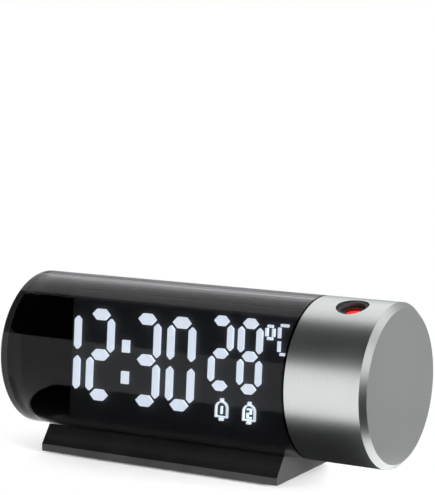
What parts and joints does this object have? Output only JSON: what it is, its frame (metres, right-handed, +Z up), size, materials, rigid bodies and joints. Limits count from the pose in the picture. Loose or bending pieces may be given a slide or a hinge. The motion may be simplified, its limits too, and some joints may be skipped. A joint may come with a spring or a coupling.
{
  "type": "projection alarm clock",
  "caption": "Round-bodied table clock with a smoked display window, a wedge stand and a turning metal projector head with a lens in its side.",
  "frame": {"origin": "on the table, under the middle of the round body", "axes": "+X along the body towards the projector head, +Y to the rear, +Z up"},
  "size_m": [0.155, 0.06, 0.0698],
  "materials": {
    "gloss_black": "polished",
    "smoked_window": "smoked, polished",
    "matte_black": "fine moulded",
    "rubber": "matt",
    "steel": "bright",
    "panel_grey": "matt dark grey",
    "white_plastic": "matt white",
    "circuit_board": "solder mask",
    "lamp_white": "clear resin",
    "lit_white": "lit white",
    "chip_black": "moulded resin",
    "satin_metal": "satin, fine turned",
    "clear_lens": "clear",
    "lamp_red": "red resin",
    "button_black": "satin"
  },
  "bodies": {
    "body": {"left_end_cap": "gloss_black", "rear_shell": "gloss_black", "stand": "gloss_black", "front_window": "smoked_window", "bulkhead": "matte_black", "stand_plate": "matte_black", "rubber_feet": "rubber", "plate_screws": "steel", "stand_screws": "steel", "coin_cell": "steel", "display_panel": "panel_grey", "display_diffuser": "white_plastic", "display_board": "circuit_board", "display_spacers": "white_plastic", "display_leds": "lamp_white", "time_figures": "lit_white", "temperature_figures": "lit_white", "alarm_bells": "lit_white", "main_board": "circuit_board", "board_posts": "matte_black", "board_chips": "chip_black", "buzzer": "chip_black", "button_board": "circuit_board", "button_board_posts": "matte_black", "tact_switches": "steel", "power_inlet": "matte_black"},
    "head": {"head_shell": "satin_metal", "head_end_cap": "satin_metal", "head_pivot": "matte_black", "pivot_retainer": "steel", "projector_barrel": "matte_black", "projector_housing": "matte_black", "picture_slide": "clear_lens", "condenser_lens": "clear_lens", "lamp_board": "circuit_board", "projector_lamp": "lamp_red", "projector_posts": "matte_black"},
    "focus_ring": {"focus_ring": "matte_black"},
    "lens_carrier": {"lens_cell": "matte_black", "projection_lens": "clear_lens"},
    "battery_door": {"battery_door": "matte_black"},
    "mode_button": {"mode_button": "button_black"},
    "alarm_button": {"alarm_button": "button_black"},
    "down_button": {"down_button": "button_black"},
    "up_button": {"up_button": "button_black"},
    "projection_button": {"projection_button": "button_black"},
    "snooze_button": {"snooze_button": "button_black"}
  },
  "joints": [
    {"name": "head_turn", "type": "hinge", "parent": "body", "child": "head", "pos_m": [0.046, 0, 0.0398], "axis": [1, 0, 0], "range_deg": [-90, 90]},
    {"name": "focus_turn", "type": "hinge", "parent": "head", "child": "focus_ring", "pos_m": [0.062, 0, 0.0398], "axis": [0, -0.2588, 0.9659], "range_deg": [0, 60]},
    {"name": "focus_slide", "type": "slide", "parent": "head", "child": "lens_carrier", "axis": [0, -0.2588, 0.9659], "range_m": [0, 0.001]},
    {"name": "battery_door_turn", "type": "hinge", "parent": "body", "child": "battery_door", "pos_m": [-0.02, 0.0103, 0.001], "axis": [0, 0, 1], "range_deg": [0, 45]},
    {"name": "mode_button_press", "type": "slide", "parent": "body", "child": "mode_button", "axis": [0, -0.8192, -0.5736], "range_m": [0, 0.0006], "stiffness_N_per_m": 500, "springref_m": -0.0005},
    {"name": "alarm_button_press", "type": "slide", "parent": "body", "child": "alarm_button", "axis": [0, -0.8192, -0.5736], "range_m": [0, 0.0006], "stiffness_N_per_m": 500, "springref_m": -0.0005},
    {"name": "down_button_press", "type": "slide", "parent": "body", "child": "down_button", "axis": [0, -0.8192, -0.5736], "range_m": [0, 0.0006], "stiffness_N_per_m": 500, "springref_m": -0.0005},
    {"name": "up_button_press", "type": "slide", "parent": "body", "child": "up_button", "axis": [0, -0.8192, -0.5736], "range_m": [0, 0.0006], "stiffness_N_per_m": 500, "springref_m": -0.0005},
    {"name": "projection_button_press", "type": "slide", "parent": "body", "child": "projection_button", "axis": [0, -0.8192, -0.5736], "range_m": [0, 0.0006], "stiffness_N_per_m": 500, "springref_m": -0.0005},
    {"name": "snooze_button_press", "type": "slide", "parent": "body", "child": "snooze_button", "axis": [0, -0.8192, -0.5736], "range_m": [0, 0.0006], "stiffness_N_per_m": 500, "springref_m": -0.0005}
  ],
  "couplings": [
    {"joint": "focus_turn", "follows": "focus_slide", "rad_per_m": 1047.2}
  ]
}
